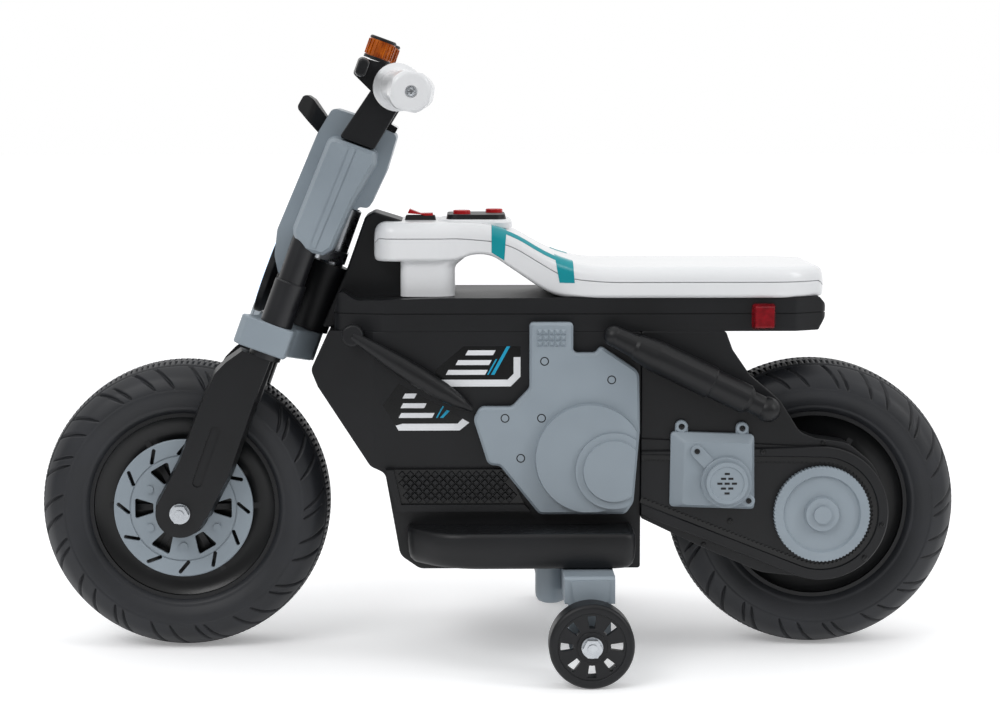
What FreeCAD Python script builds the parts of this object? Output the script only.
import FreeCAD, Part
import math
import os

V = FreeCAD.Vector

# Kids electric motorbike. Sizes in millimetres, +Z up, +X to the rear, -Y is the rider's left.
# Outlines are shares on a grid: x of the wheelbase in 656ths, y of the half width in 85ths and z of the
# tyre radius in 150ths, so they stretch with those three sizes.
TYRE_R = 150.0
WHEELBASE = 656.0
BODY_HALF_W = 85.0
GRID_X_share = 1 / 656
GRID_Y_share = 1 / 85
GRID_Z_share = 1 / 150
RAKE_DEG = 20.0
FULL_TURN = 360.0
HALF_TURN = 180.0
RIGHT_ANGLE = 90.0
WALL = 3.0
OVERRUN = 2.0
RUN_CLEAR = 0.05
GAP = 0.4
BOLT_R = 4.0
BOLT_H = 2.0
EDGE = 1.2
TINY = 0.02
STRAIGHT = 0.02
CORNER_LIMIT_share = 0.48

# Wheels.
TYRE_HALF_W = 47.0
TYRE_BORE_R = 98.0
TYRE_SECTION_shares = [(0.15, 0.9), (0.45, 1.0), (0.75, 0.9), (0.94, 0.6), (1.0, 0.2)]
TYRE_ROUND_shares = [0.02, 0.17, 0.26, 0.26, 0.3, 0.43]
RIM_HALF_W = 37.0
RIM_WALL = 4.0
AXLE_R = 5.0
HUB_R = 24.0
HUB_HALF_W = 43.0
WEB_HALF = 3.0
HUB_RIBS = 6
RIB_HALF_T = 3.0
RIB_HALF_W = 26.0
GROOVE_COUNT = 36
GROOVE_W = 3.0
GROOVE_DEEP = 2.4
GROOVE_LONG = 34.0
GROOVE_SLANT_DEG = 28.0
GROOVE_TILT_DEG = 60.0
GROOVE_MID_R_share = 0.94
GROOVE_MID_Y_share = 0.72
DISC_R = 72.0
DISC_T = 4.0
DISC_SLOTS = 12
DISC_SLOT_L = 17.0
DISC_SLOT_W = 4.0
DISC_SLOT_R = 62.0
DISC_SLOT_DEG = 40.0
DISC_GROOVE_R = 55.0
DISC_GROOVE_W = 1.6
DISC_WINDOWS = 6
WINDOW_IN_R = 31.0
WINDOW_OUT_R = 50.0
WINDOW_IN_HALF = 5.0
WINDOW_OUT_HALF = 11.0
DISC_BOLT_R = 40.0
WASHER_R = 10.5
WASHER_T = 2.0
NUT_AF = 17.0
NUT_H = 7.0
SPACER_R = 9.0

# Trainer wheels.
TRAINER_R = 42.0
TRAINER_W = 30.0
TRAINER_X_share = 86.0
TRAINER_IN_Y = 192.0
TRAINER_WINDOWS = 8
TRAINER_HUB_R = 15.0
TRAINER_RIM_R = 33.0
TRAINER_WEB = 6.0
TRAINER_ROUND = 5.0
TRAINER_WIN_IN = 18.0
TRAINER_WIN_OUT = 31.0
TRAINER_WIN_IN_HALF = 3.6
TRAINER_WIN_OUT_HALF = 8.4
ARM_IN_Y = 30.0
ARM_OUT_Y = 181.0
ARM_T = 18.0
ARM_HALF_X = 25.0
ARM_TIP_HALF_X = 21.0
ARM_BELOW_AXLE = 24.0

# Steering column, all measured along and ahead of the raked axis.
AXIS_X_share = -206.0
AXIS_Z_share = 318.0
FORK_AHEAD = 30.0
FORK_Y = 66.0
TUBE_R = 14.0
SLEEVE_R = 16.5
SLEEVE_LOW = -60.0
SLEEVE_TOP = 62.0
TUBE_TOP = 118.0
STEM_R = 12.5
STEM_LOW = -14.0
STEM_TOP = 150.0
HEAD_R = 21.0
HEAD_LOW = 17.0
HEAD_TOP = 88.0
BUSH_R = 16.0
BUSH_LONG = 16.0
YOKE_LOW = -14.0
YOKE_TOP = 16.0
YOKE_BOSS_R = 17.0
LEG_IN_Y = 54.0
LEG_OUT_Y = 80.0
BAR_R = 11.0

# Side outlines of the fixed body, drawn as (x, z).
BODY_SIDE_shares = [(-175, 337), (-194, 296), (-187, 279), (-133, 199), (-118, 192), (-103, 107), (-83,
        93), (143, 93),
             (143, 337)]
BODY_ROUND_shares = [4, 10, 10, 12, 10, 14, 14, 3, 3]
FRONT_TAPER_shares = [(-200, 62), (-128, 85.5), (-128, 120), (-200, 120)]
NECK_SIDE_shares = [(-184, 337), (-157, 399), (-138.5, 451), (-129, 456), (-100, 447), (-92, 372),
        (-92, 337)]
NECK_ROUND_shares = [2, 8, 6, 5, 6, 8, 2]
NECK_HALF_W_share = 34.0
RAIL_SIDE_shares = [(-175, 337), (-164, 379), (-147, 368), (-60, 371), (326, 371), (333, 363), (333,
        350), (325, 337)]
RAIL_ROUND_shares = [2, 5, 12, 20, 4, 6, 8, 2]
RAIL_PLAN_shares = [(-170, 70), (-120, 85), (300, 85), (334, 66), (334, -66), (300, -85), (-120, -85),
        (-170, -70)]
RAIL_LINE_Z_share = 355.0
RAIL_CORNER = 14.0
SEAT_SIDE_shares = [(-121, 445), (-72, 446), (-16, 447), (9, 441), (74, 409), (100, 412), (316, 412),
        (332, 401),
             (332, 379), (325, 371), (60, 371), (42, 379), (-10, 414), (-32, 413), (-46, 406), (-52, 371),
             (-102, 371), (-110, 395), (-127, 411), (-129, 436)]
SEAT_ROUND_shares = [8, 10, 30, 30, 34, 30, 12, 10, 8, 6, 12, 40, 14, 10, 8, 2, 2, 10, 8, 8]
SEAT_PLAN_shares = [(-130, 70), (-6, 70), (40, 66), (92, 90), (296, 90), (333, 60), (333, -60), (296,
        -90), (92, -90),
             (40, -66), (-6, -70), (-130, -70)]
SEAT_PLAN_ROUND_shares = [22, 30, 60, 40, 26, 30, 30, 26, 40, 60, 30, 22]
SEAT_PART_shares = [(-140, 431), (-40, 431), (6, 427), (70, 393), (110, 391), (340, 390), (340, 470),
        (-140, 470)]
SEAT_OPEN_X_shares = (62, 322)
CONSOLE_OPEN_X_shares = (-97, -56)
CONSOLE_OPEN_Y_share = 57.0
PART_ROUND_shares = [0, 10, 20, 20, 10, 0, 0, 0]
SEAT_WALL = 3.0
SEAT_EDGE = 6.0
SEAT_RIM_Z_share = 395.0
FLAT_TEST = 0.02
TRIM_FRONT_shares = [(-9, 452), (7, 452), (4, 416), (-9, 424)]
TRIM_REAR_shares = [(54, 424), (73, 414), (75, 386), (60, 386)]
TRIM_DEEP = 1.0
PANEL_X_share = -24.0
PANEL_Z_share = 447.0
PANEL_LONG = 62.0
PANEL_WIDE = 74.0
PANEL_T = 6.0
PANEL_ROUND = 12.0
BUTTON_R = 9.0
BUTTON_AT_shares = [(-39, -14), (-5, 14)]
BUTTON_RISE = 4.0
BUTTON_STROKE = 2.0
ROCKER_X_share = -82.0
ROCKER_L = 27.0
ROCKER_W = 17.0
ROCKER_WALL = 2.4
ROCKER_SEAT_Z_share = 446.0
ROCKER_TILT_DEG = 10.0
BATTERY_SIZE = (110.0, 70.0, 90.0)
BATTERY_X_share = 20.0
BOARD_SIZE = (70.0, 60.0, 20.0)
BOARD_X_share = 60.0
BOARD_Z_share = 300.0
TRAY_T = 4.0
TRAY_Z_share = 120.0
RIB_AT_shares = (0.06, 0.94)

# Covers, steps and the rear end, drawn as (x, z).
ENGINE_SIDE_shares = [(29, 347), (73, 347), (73, 316), (96, 316), (101, 323), (140, 297), (141, 237),
        (135, 163), (127, 151),
               (39, 151), (-1, 201), (-13, 202), (-28, 249), (-21, 261), (11, 261), (29, 280)]
ENGINE_ROUND_shares = [4, 4, 5, 6, 6, 12, 10, 12, 8, 8, 8, 8, 10, 8, 8, 8]
ENGINE_T = 13.0
ENGINE_DRAFT = 2.5
DRUM_C_shares = (90, 209)
DRUM_R = 56.0
DRUM_T = 8.0
CAP_C_shares = (114, 197)
CAP_R = 40.0
CAP_IN_R = 32.0
CAP_T = 6.0
STUD = 6.0
STUD_H = 2.4
POST_STUDS = (5, 3)
POST_STUD_AT_shares = (36.2, 323)
STRUT_FROM_shares = (-150, 334)
STRUT_TO_shares = (-29, 258)
STRUT_R = 10.5
STRUT_STEP_shares = [(0.0, 0.45), (0.35, 0.9), (0.55, 1.0), (0.75, 0.92), (0.9, 0.66), (1.0, 0.2)]
STRUT_ROUND_shares = [0, 0, 8, 6, 6, 3, 0.1, 0]
STRUT_BOSS_R = 11.0
STRUT_BOSS_T = 13.0
TREAD_SIDE_shares = [(-111, 195), (-108, 162), (18, 162), (2, 195)]
TREAD_T = 9.0
TREAD_STUDS = (17, 4)
TREAD_STUD_AT_shares = (-102, 167)
STEP_X_shares = (-91, 134)
STEP_Z_shares = (103, 139)
STEP_OUT_Y_share = 150.0
STEP_ROUND = 20.0
STEP_DRAFT = 5.0
STEP_RIBS = 6
PEDAL_HEEL_X_share = -12.0
PEDAL_LONG = 66.0
PEDAL_WIDE = 38.0
PEDAL_T = 5.0
PEDAL_MID_Y_share = 122.0
PEDAL_RISE_DEG = 14.0
PEDAL_PIN_R = 2.5
PEDAL_BARREL_R = 4.5
PEDAL_LIFT = 7.0
LUG_T = 4.0
ARM_LOW_Z_share = 76.0
BODY_LOW_Z_share = 93.0
REAR_SIDE_shares = [(143, 145), (205, 115), (267, 88), (331, 81), (380, 100), (399, 152), (383, 199),
        (355, 222), (321, 227),
             (306, 233), (285, 266), (254, 292), (236, 318), (229, 337), (143, 337)]
REAR_ROUND_shares = [4, 40, 40, 40, 34, 50, 40, 24, 14, 16, 30, 20, 10, 4, 2]
REAR_IN_Y = 54.0
REAR_OUT_Y = 86.0
REAR_AXLE_BOSS_R = 14.0
BELT_T = 3.0
BELT_REAR_R = 68.0
BELT_BAND = 13.0
BELT_FRONT_X_share = 143.5
BELT_TOP_Z_share = 227.0
BELT_LOW_Z_share = 146.0
BELT_FOOT_shares = (0.3, 0.95)
BELT_TOOTH = 2.0
BELT_PITCH = 4.4
PULLEY_R = 49.5
PULLEY_TEETH = 80
PULLEY_T = 8.0
PULLEY_STEP_R = 41.0
PULLEY_BOSS_R = 18.0
SPEAKER_SIDE_shares = [(173, 235), (258, 232), (259, 155), (172, 158)]
SPEAKER_T = 12.0
SPEAKER_ROUND = 5.0
SPEAKER_EARS_shares = [(184, 240), (246, 238)]
EAR_R = 6.5
GRILLE_C_shares = (229, 184)
GRILLE_R = 26.0
GRILLE_T = 14.0
GRILLE_SLOT_W = 3.0
GRILLE_SLOT_shares = (0.42, 0.36, 0.17)
GRILLE_EARS_shares = [(199, 216), (252, 165)]
SHOCK_TOP_shares = (114, 334)
SHOCK_LOW_shares = (270, 259)
SHOCK_Y_share = 104.0
SHOCK_R = 16.8
SHOCK_STEPS_shares = [(0.0, 0.625), (0.13, 0.714), (0.15, 0.804), (0.27, 0.976), (0.63, 1.0), (0.64,
        0.905),
                      (0.86, 0.905), (0.89, 0.655), (1.0, 0.655)]
SHOCK_TOP_R = 10.8
SHOCK_FOOT_R = 13.0
SHOCK_PIN_R = 6.0
LAMP_SIDE_shares = [(255, 339), (279, 339), (279, 365), (255, 365)]
LAMP_T = 11.0
DRIVE_R = 40.0
MOTOR_R = 13.0
MOTOR_X_shares = (225, 290)
DOG_R = 27.0
DOG_LUGS = 6
DOG_T = 6.0
DOG_NOTCH_share = 0.75

# Steering pieces. LEG_SIDE_shares is drawn as (x, z); the others as (ahead of the axis, along the axis).
LEG_SIDE_shares = [(-356, 156), (-330, 206), (-308, 263), (-293, 296), (-281, 308), (-250, 330), (-222,
        330), (-247, 267),
            (-275, 188), (-301, 138)]
LEG_ROUND_shares = [10, 30, 30, 20, 14, 2, 2, 30, 40, 10]
LEG_END_R = 28.0
LEG_TOP = -20.0
LEG_DRAFT = 3.0
SPIGOT_R = 8.0
SPIGOT_LOW = -62.0
LEG_SLOT_shares = [(-291, 235), (-310, 182)]
LEG_SLOT_R = 5.0
LEG_SLOT_DEEP = 2.0
YOKE_PLAN_shares = [(-0.5, 0.23), (0.27, 0.82), (0.33, 1.29), (1.93, 1.29), (2.2, 1.15), (1.73, 0.64),
                    (1.73, -0.64), (2.2, -1.15), (1.93, -1.29), (0.33, -1.29), (0.27, -0.82), (-0.5,
                            -0.23)]
YOKE_ROUND_shares = [8, 10, 4, 5, 6, 12, 12, 6, 5, 4, 10, 8]
UPPER_LOW_share = 92.0
UPPER_TOP_share = 104.0
UPPER_PLAN_shares = [(-0.47, 0.21), (0.47, 0.65), (1.53, 0.65), (1.53, -0.65), (0.47, -0.65), (-0.47,
        -0.21)]
UPPER_ROUND = 8.0
COWL_OUT_shares = [(50, 242), (20, 243), (-21, 238), (-23, 199), (-19, 158), (-9, 156), (4, 108), (20,
        66), (45, 62), (56, 80), (62, 106),
            (56, 213)]
COWL_ROUND_shares = [6, 4, 6, 8, 6, 4, 10, 8, 8, 16, 20, 12]
COWL_MOUTH_shares = [(24, 60), (24, 152), (-30, 152), (-30, 60)]
COWL_HALF_W = 46.0
COWL_SPLIT_share = 8.0
COVER_OUT_shares = [(44, 217), (48, 109), (28, 95), (8, 97), (0, 107), (-4, 160), (-12, 204), (-8, 217)]
COVER_ROUND_shares = [10, 14, 10, 6, 8, 8, 8, 6]
COVER_OUT_Y = 81.0
COVER_DRAFT = 2.0
COVER_FACET = 5.0
COVER_SLOPE = 3.4
COVER_RIB_shares = [(19, 212), (13, 212), (18, 104), (23, 104)]
DISPLAY_OUT_shares = [(14, 243), (-18, 239), (-19, 245), (13, 251)]
DISPLAY_HALF_W = 34.0
PADDLE_OUT_shares = [(50, 216), (56, 212), (86, 229), (83, 246), (72, 243), (52, 229)]
PADDLE_ROUND_shares = [2, 3, 6, 6, 10, 3]
PADDLE_PLAN_shares = [(48, 0.6), (70, 1.0), (90, 0.7), (90, -0.7), (70, -1.0), (48, -0.6)]
PADDLE_HALF_W = 30.0
PADDLE_CORNER = 10.0
LIGHT_ALONG_share = 56.0
LIGHT_R = 41.0
LIGHT_BACK_share = 47.0
LIGHT_FACE_share = 60.0
LENS_R = 37.0
LENS_BULGE = 6.0
LENS_SHOULDER_shares = (0.6, 0.8)
LENS_ROUND = 30.0
RISER_OUT_shares = [(33, 217), (-4, 217), (-13, 262), (-12, 278), (4, 286), (18, 276)]
RISER_ROUND_shares = [3, 3, 10, 10, 10, 10]
RISER_IN_Y = 48.0
RISER_OUT_Y = 72.0
BAR_MID_shares = (-1, 284)
BAR_END_shares = (-21.5, 285.5)
BAR_END_Y = 233.0
GRIP_IN_Y = 108.0
GRIP_END_Y = 239.0
GRIP_R = 17.5
GRIP_END_R = 20.5
GRIP_SCREW_R = 6.0
GRIP_SWELL_shares = (0.7, 0.8)
GRIP_ROUND_shares = [0, 0.07, 0.07, 0.7, 1.7, 1.1, 0.28, 0, 0, 0]
GRIP_FLAT_share = 0.92
GRIP_FLANGE_R = 24.0
GRIP_FLANGE_T = 5.0
PERCH_IN_Y = 80.0
PERCH_OUT_Y = 104.0
PERCH_ROUND_shares = [8, 8, 4, 4, 6, 8]
PERCH_OUT_shares = [(-15, 272), (14, 270), (40, 282), (40, 300), (12, 302), (-15, 298)]
LEVER_AHEAD_share = 34.0
LEVER_ALONG_share = 291.0
LEVER_HALF_W = 6.0
LEVER_HALF_H = 10.0
LEVER_END_Y = 196.0
LEVER_SWEEP = 4.0
LEVER_TIP_share = 0.85
LEVER_ROUND_share = 0.8
POT_AHEAD_share = 23.0
POT_LOW_share = 302.0
POT_Y = 92.0
POT_R = 13.0
POT_LENS_H = 17.0
POT_CAP_H = 3.0
POT_RIBS = 18


def at(x, z):
    """A grid point of the side view in real lengths."""
    return (x * WHEELBASE * GRID_X_share, z * TYRE_R * GRID_Z_share)


def across(y):
    """A grid width in real length."""
    return y * BODY_HALF_W * GRID_Y_share


def col(t):
    """A grid length along or ahead of the steering column in real length."""
    return t * TYRE_R * GRID_Z_share


def rounds(table):
    """Corner radii of an outline in real lengths."""
    return [r * TYRE_R * GRID_Z_share for r in table]


def side(points):
    return [at(x, z) for x, z in points]


def to_plane(axis, a, b, c):
    """Vector for plane coordinates a, b at the height c along the named axis."""
    if axis == "y":
        return V(a, c, b)
    if axis == "x":
        return V(c, a, b)
    return V(a, b, c)


def round_wire(points, radius, axis, level):
    """Closed outline whose corners are arcs; radius is one number or one per corner."""
    count = len(points)
    radii = radius if isinstance(radius, list) else [radius] * count
    flat = [V(p[0], p[1], 0) for p in points]
    marks = []
    for i in range(count):
        corner = flat[i]
        back = flat[i - 1] - corner
        ahead = flat[(i + 1) % count] - corner
        reach = CORNER_LIMIT_share * min(back.Length, ahead.Length)
        angle = back.getAngle(ahead)
        back.normalize()
        ahead.normalize()
        slope = math.tan(angle / 2)
        trim = min(radii[i] / slope, reach)
        if trim < TINY or math.pi - angle < STRAIGHT:
            marks.append((corner, None, corner))
            continue
        arc_r = trim * slope
        middle = back + ahead
        middle.normalize()
        near = corner + middle * (arc_r / math.sin(angle / 2) - arc_r)
        marks.append((corner + back * trim, near, corner + ahead * trim))
    edges = []
    for i in range(count):
        start, near, end = marks[i]
        nxt = marks[(i + 1) % count][0]
        a = to_plane(axis, start.x, start.y, level)
        b = to_plane(axis, end.x, end.y, level)
        if near is not None:
            edges.append(Part.Arc(a, to_plane(axis, near.x, near.y, level), b).toShape())
        c = to_plane(axis, nxt.x, nxt.y, level)
        if b.distanceToPoint(c) > TINY:
            edges.append(Part.makeLine(b, c))
    return Part.Wire(edges)


def prism(points, radius, axis, low, high):
    """Rounded outline pushed along an axis from low to high."""
    face = Part.Face(round_wire(points, radius, axis, low))
    return face.extrude(to_plane(axis, 0, 0, high - low))


def inset_prism(points, radius, axis, low, high, inset):
    face = Part.Face(round_wire(points, radius, axis, low)).makeOffset2D(-inset)
    return face.extrude(to_plane(axis, 0, 0, high - low))


def drafted(points, radius, axis, low, high, inset):
    """Loft from an outline to the same outline drawn in by the inset."""
    first = round_wire(points, radius, axis, low)
    shrunk = Part.Face(round_wire(points, radius, axis, high)).makeOffset2D(-inset)
    return Part.makeLoft([first, shrunk.OuterWire], True)


def rod(start, end, radius):
    run = V(*end) - V(*start)
    return Part.makeCylinder(radius, run.Length, V(*start), run)


def cone(start, end, radius_a, radius_b):
    run = V(*end) - V(*start)
    return Part.makeCone(radius_a, radius_b, run.Length, V(*start), run)


def lathe(points, radius):
    """Turn an outline of (radius, y) about the Y axis."""
    face = Part.Face(round_wire(points, radius, "z", 0))
    return face.revolve(V(0, 0, 0), V(0, 1, 0), FULL_TURN)


def spun(shape, count):
    """Copies of a shape round the Y axis."""
    out = []
    for i in range(count):
        copy = shape.copy()
        copy.rotate(V(0, 0, 0), V(0, 1, 0), FULL_TURN * i / count)
        out.append(copy)
    return out


def moved(shape, x, y, z):
    copy = shape.copy()
    copy.translate(V(x, y, z))
    return copy


def flipped(shape):
    """The same piece on the other side of the bike."""
    return shape.mirror(V(0, 0, 0), V(0, 1, 0))


def raked(shape):
    """A piece drawn upright on the steering axis, laid back to the rake."""
    copy = shape.copy()
    copy.rotate(V(0, 0, 0), V(0, 1, 0), RAKE_DEG)
    x, z = at(AXIS_X_share, AXIS_Z_share)
    copy.translate(V(x, 0, z))
    return copy


def join(shapes):
    return shapes[0].multiFuse(shapes[1:]).removeSplitter()


def soften(shape, edges, size):
    return shape.makeFillet(size, edges)


def bevel(shape, edges, size):
    return shape.makeChamfer(size, edges)


def edges_at(shape, axis, level):
    """Edges that lie wholly in the plane at a level of the named axis."""
    found = []
    for edge in shape.Edges:
        box = edge.BoundBox
        low, high = {"x": (box.XMin, box.XMax), "y": (box.YMin, box.YMax), "z": (box.ZMin,
                box.ZMax)}[axis]
        if abs(low - level) < TINY and abs(high - level) < TINY:
            found.append(edge)
    return found


def hex_nut(y, out):
    """Nut and washer on a cross axle, seated at y and standing outwards."""
    washer = rod((0, y, 0), (0, y + out * WASHER_T, 0), WASHER_R)
    corner = NUT_AF / math.sqrt(3)
    points = []
    for i in range(6):
        turn = math.radians(FULL_TURN * i / 6)
        points.append((corner * math.cos(turn), corner * math.sin(turn)))
    seat = y + out * WASHER_T
    nut = prism(points, 0, "y", seat, seat + out * NUT_H)
    return [washer, nut]


def save(name, shape):
    shape.exportStep("parts/" + name + ".step")


def save_pair(name, left):
    save(name + "_left", left)
    save(name + "_right", flipped(left))


def save_both(name, left):
    save(name, Part.makeCompound([left, flipped(left)]))


def trapezoid(r_in, r_out, half_in, half_out, radius, low, high):
    """Window between two radii, narrow end towards the axle."""
    points = [(r_in, -half_in), (r_out, -half_out), (r_out, half_out), (r_in, half_in)]
    return prism(points, radius, "y", low, high)


def tyre():
    w = TYRE_HALF_W
    r = TYRE_R
    b = TYRE_BORE_R
    rim = RIM_HALF_W
    half = [(b, rim)] + [(b + deep * (r - b), wide * w) for deep, wide in TYRE_SECTION_shares]
    points = half + [(p[0], -p[1]) for p in reversed(half)]
    radii = [share * w for share in TYRE_ROUND_shares]
    body = lathe(points, radii + radii[::-1])
    groove = Part.makeBox(GROOVE_W, GROOVE_LONG, GROOVE_DEEP * 2)
    groove.translate(V(-GROOVE_W / 2, -GROOVE_LONG / 2, -GROOVE_DEEP))
    groove.rotate(V(0, 0, 0), V(0, 0, 1), GROOVE_SLANT_DEG)
    groove.rotate(V(0, 0, 0), V(1, 0, 0), -RIGHT_ANGLE + GROOVE_TILT_DEG)
    groove.translate(V(0, GROOVE_MID_Y_share * w, GROOVE_MID_R_share * r))
    ring = spun(groove, GROOVE_COUNT)
    other = [g.mirror(V(0, 0, 0), V(0, 1, 0)) for g in ring]
    return body.cut(Part.makeCompound(ring + other))


def hub():
    """Rim barrel, thin web, six ribs a side and the bearing barrel, turned and ribbed."""
    rim_in = TYRE_BORE_R - RIM_WALL
    barrel = lathe([(rim_in, -RIM_HALF_W), (TYRE_BORE_R, -RIM_HALF_W), (TYRE_BORE_R, RIM_HALF_W),
                    (rim_in, RIM_HALF_W)], 0)
    web = lathe([(HUB_R - WALL, -WEB_HALF), (rim_in + EDGE, -WEB_HALF), (rim_in + EDGE, WEB_HALF),
                 (HUB_R - WALL, WEB_HALF)], 0)
    core = lathe([(AXLE_R + RUN_CLEAR, -HUB_HALF_W), (HUB_R, -HUB_HALF_W), (HUB_R, HUB_HALF_W),
                  (AXLE_R + RUN_CLEAR, HUB_HALF_W)], [0, EDGE, EDGE, 0])
    rib_points = [(HUB_R - WALL, -HUB_HALF_W + EDGE), (rim_in + EDGE, -RIB_HALF_W), (rim_in + EDGE,
            RIB_HALF_W),
                  (HUB_R - WALL, HUB_HALF_W - EDGE)]
    rib = prism(rib_points, 0, "z", -RIB_HALF_T, RIB_HALF_T)
    return join([barrel, web, core] + spun(rib, HUB_RIBS))


def brake_disc():
    """Left disc, seated on the end of the hub barrel, slotted and windowed."""
    low = -HUB_HALF_W - DISC_T
    high = -HUB_HALF_W
    plate = lathe([(AXLE_R + WALL, low), (DISC_R, low), (DISC_R, high), (AXLE_R + WALL, high)], [0,
            EDGE, 0, 0])
    slot = prism([(-DISC_SLOT_L / 2, -DISC_SLOT_W / 2), (DISC_SLOT_L / 2, -DISC_SLOT_W / 2),
                  (DISC_SLOT_L / 2, DISC_SLOT_W / 2), (-DISC_SLOT_L / 2, DISC_SLOT_W / 2)],
                 DISC_SLOT_W / 2, "y", low - OVERRUN, high + OVERRUN)
    slot.rotate(V(0, 0, 0), V(0, 1, 0), DISC_SLOT_DEG)
    slot.translate(V(DISC_SLOT_R, 0, 0))
    window = trapezoid(WINDOW_IN_R, WINDOW_OUT_R, WINDOW_IN_HALF, WINDOW_OUT_HALF, BOLT_H, low - OVERRUN,
                       high + OVERRUN)
    groove = lathe([(DISC_GROOVE_R - DISC_GROOVE_W / 2, low - OVERRUN),
            (DISC_GROOVE_R + DISC_GROOVE_W / 2, low - OVERRUN),
                    (DISC_GROOVE_R + DISC_GROOVE_W / 2, low + EDGE), (DISC_GROOVE_R - DISC_GROOVE_W / 2, low + EDGE)], 0)
    plate = plate.cut(Part.makeCompound(spun(slot, DISC_SLOTS) + spun(window, DISC_WINDOWS) + [groove]))
    turn = math.radians(HALF_TURN / DISC_WINDOWS)
    head = rod((DISC_BOLT_R * math.cos(turn), low + EDGE, DISC_BOLT_R * math.sin(turn)),
               (DISC_BOLT_R * math.cos(turn), low - BOLT_H, DISC_BOLT_R * math.sin(turn)), BOLT_R)
    return join([plate] + spun(head, DISC_WINDOWS))


def cross_axle(seat_y):
    """Axle rod with a washer and nut at each end, seated on faces at seat_y."""
    end = seat_y + WASHER_T + NUT_H + OVERRUN
    pieces = [rod((0, -end, 0), (0, end, 0), AXLE_R)]
    for out in (-1, 1):
        pieces += hex_nut(out * seat_y, out)
    return join(pieces)


def body_left():
    """Left half shell with the front drawn in towards the wheel and a lap for the covers."""
    points = side(BODY_SIDE_shares)
    y = BODY_HALF_W
    outer = prism(points, rounds(BODY_ROUND_shares), "y", -y, 0)
    inner = inset_prism(points, rounds(BODY_ROUND_shares), "y", -y + WALL, OVERRUN, WALL)
    taper = [(at(x, 0)[0], -across(w)) for x, w in FRONT_TAPER_shares]
    inner_taper = [(p[0] + WALL / 2, p[1] + WALL) for p in taper]
    high = points[0][1] + OVERRUN
    outer = soften(outer, edges_at(outer, "y", -y), EDGE)
    outer = outer.cut(prism(taper, 0, "z", 0, high))
    inner = inner.cut(prism(inner_taper, 0, "z", 0, high))
    shell = outer.cut(inner)
    rib = []
    for share in RIB_AT_shares:
        x = points[6][0] + share * (points[7][0] - points[6][0])
        rib.append(Part.makeBox(WALL, WALL * 2 + OVERRUN,
                points[8][1] - points[7][1] - 2 * WALL + OVERRUN,
                                V(x, -y + WALL - EDGE, points[7][1] + WALL - EDGE)))
    shelf_x, shelf_z = at(BATTERY_X_share, TRAY_Z_share)
    shelf = Part.makeBox(BATTERY_SIZE[0], y - WALL + EDGE, TRAY_T,
                         V(shelf_x - BATTERY_SIZE[0] / 2, -y + WALL - EDGE, shelf_z - TRAY_T))
    return join([shell, shelf] + rib)


def neck():
    """Head tube on the raked axis with the gusset that ties it to the body top."""
    half = across(NECK_HALF_W_share)
    gusset = prism(side(NECK_SIDE_shares), rounds(NECK_ROUND_shares), "y", -half, half)
    gusset = soften(gusset, edges_at(gusset, "y", -half) + edges_at(gusset, "y", half), EDGE * 2)
    tube = raked(rod((0, 0, HEAD_LOW), (0, 0, HEAD_TOP), HEAD_R))
    bore = raked(rod((0, 0, HEAD_LOW - OVERRUN), (0, 0, HEAD_TOP + OVERRUN), BUSH_R))
    above = raked(rod((0, 0, HEAD_TOP), (0, 0, STEM_TOP + OVERRUN), BUSH_R))
    return join([gusset, tube]).cut(bore).cut(above)


def neck_room():
    """Space that the neck fills, as if unbored, for the rail to be cut away."""
    half = across(NECK_HALF_W_share)
    gusset = prism(side(NECK_SIDE_shares), rounds(NECK_ROUND_shares), "y", -half, half)
    return gusset.fuse(raked(rod((0, 0, STEM_LOW), (0, 0, STEM_TOP), HEAD_R)))


def head_bushes():
    ring = []
    for low in (HEAD_LOW, HEAD_TOP - BUSH_LONG):
        outer = rod((0, 0, low), (0, 0, low + BUSH_LONG), BUSH_R)
        ring.append(outer.cut(rod((0, 0, low - OVERRUN), (0, 0, low + BUSH_LONG + OVERRUN),
                STEM_R + RUN_CLEAR)))
    return raked(Part.makeCompound(ring))


def plan_points(points):
    return [(at(x, 0)[0], across(y)) for x, y in points]


def seat_rail():
    """Long box under the seat, hollow inside, with the groove round its side."""
    y = BODY_HALF_W
    points = side(RAIL_SIDE_shares)
    low = points[0][1]
    block = prism(points, rounds(RAIL_ROUND_shares), "y", -y, y)
    plan = plan_points(RAIL_PLAN_shares)
    block = block.common(prism(plan, RAIL_CORNER, "z", low - OVERRUN, points[1][1] + OVERRUN))
    hollow = inset_prism(points, rounds(RAIL_ROUND_shares), "y", -y + WALL, y - WALL, WALL)
    hollow = hollow.common(inset_prism(plan, RAIL_CORNER, "z", low - OVERRUN, points[1][1] + OVERRUN,
            WALL))
    line_z = at(0, RAIL_LINE_Z_share)[1]
    slab = Part.makeBox(WHEELBASE * 2, y * 4, EDGE, V(-WHEELBASE, -y * 2, line_z - EDGE / 2))
    groove = slab.cut(inset_prism(plan, RAIL_CORNER, "z", line_z - EDGE, line_z + EDGE, EDGE))
    block = block.cut(hollow).cut(groove)
    return block.cut(neck_room())


def seat_block(inset):
    """Whole seat and console form: side outline met by the plan outline."""
    points = side(SEAT_SIDE_shares)
    plan = plan_points(SEAT_PLAN_shares)
    y = BODY_HALF_W * 2
    low = points[9][1] - OVERRUN
    high = points[2][1] + OVERRUN
    if inset == 0:
        solid = prism(points, rounds(SEAT_ROUND_shares), "y", -y, y)
        return solid.common(prism(plan, rounds(SEAT_PLAN_ROUND_shares), "z", low, high))
    solid = inset_prism(points, rounds(SEAT_ROUND_shares), "y", -y, y, inset)
    return solid.common(inset_prism(plan, rounds(SEAT_PLAN_ROUND_shares), "z", low, high, inset))


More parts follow.
